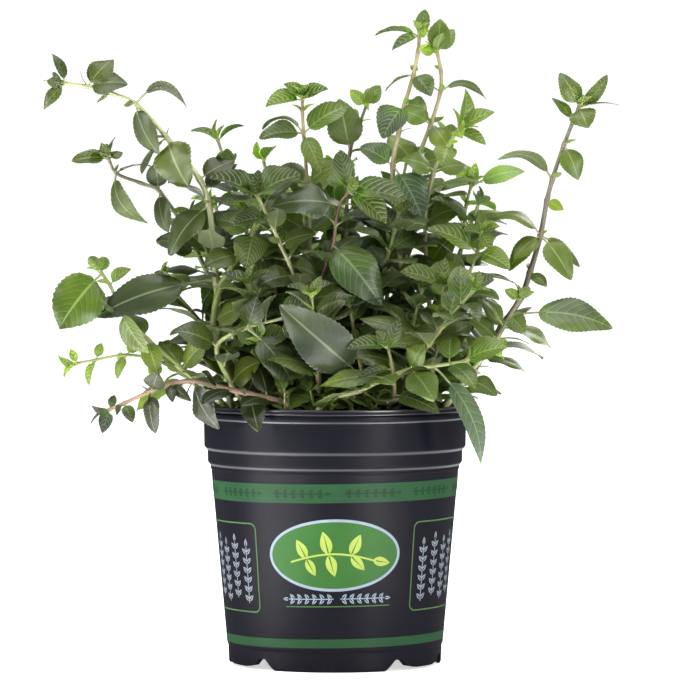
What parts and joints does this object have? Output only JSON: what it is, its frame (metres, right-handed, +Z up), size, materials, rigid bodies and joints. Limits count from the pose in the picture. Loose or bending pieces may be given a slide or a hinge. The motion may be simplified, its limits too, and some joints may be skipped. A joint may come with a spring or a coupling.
{
  "type": "potted mint plant",
  "caption": "Bushy mint plant with square stems and paired serrated leaves in a thin round tapered nursery pot of dark potting mix.",
  "frame": {"origin": "on the ground, at the centre of the pot's foot, which is also the middle of the whole plant's box to within 2 mm", "axes": "+Z up along the pot's axis, -Y the side seen from the front, +X to the right seen from the front"},
  "size_m": [0.2472, 0.1472, 0.2825],
  "materials": {
    "pot": "satin black moulded plastic with plain green printed bands",
    "potting_mix": "loose dark peat mix with bark, fine roots and white perlite grains",
    "plant": "green leaves with veins, on green, tan or red-brown stems"
  },
  "bodies": {
    "root": {"pot": "pot", "potting_mix": "potting_mix", "runner_red": "plant", "stem_centre": "plant", "stem_centre_back": "plant", "stem_centre_left": "plant", "stem_centre_tall": "plant", "stem_fill_11": "plant", "stem_fill_12": "plant", "stem_fill_13": "plant", "stem_fill_14": "plant", "stem_fill_15": "plant", "stem_fill_16": "plant", "stem_fill_17": "plant", "stem_fill_21": "plant", "stem_fill_22": "plant", "stem_fill_23": "plant", "stem_fill_24": "plant", "stem_fill_25": "plant", "stem_fill_31": "plant", "stem_fill_32": "plant", "stem_fill_33": "plant", "stem_fill_41": "plant", "stem_fill_42": "plant", "stem_fill_43": "plant", "stem_fill_51": "plant", "stem_fill_52": "plant", "stem_fill_54": "plant", "stem_fill_55": "plant", "stem_front_centre": "plant", "stem_front_left": "plant", "stem_front_low": "plant", "stem_front_right": "plant", "stem_front_short": "plant", "stem_front_tall": "plant", "stem_left_arch": "plant", "stem_left_low": "plant", "stem_left_olive": "plant", "stem_left_trailing": "plant", "stem_left_upper": "plant", "stem_right_back": "plant", "stem_right_low": "plant", "stem_right_rosette": "plant", "stem_right_tall": "plant", "stem_right_upper": "plant", "stem_top_left": "plant", "stem_top_right": "plant"}
  },
  "joints": []
}
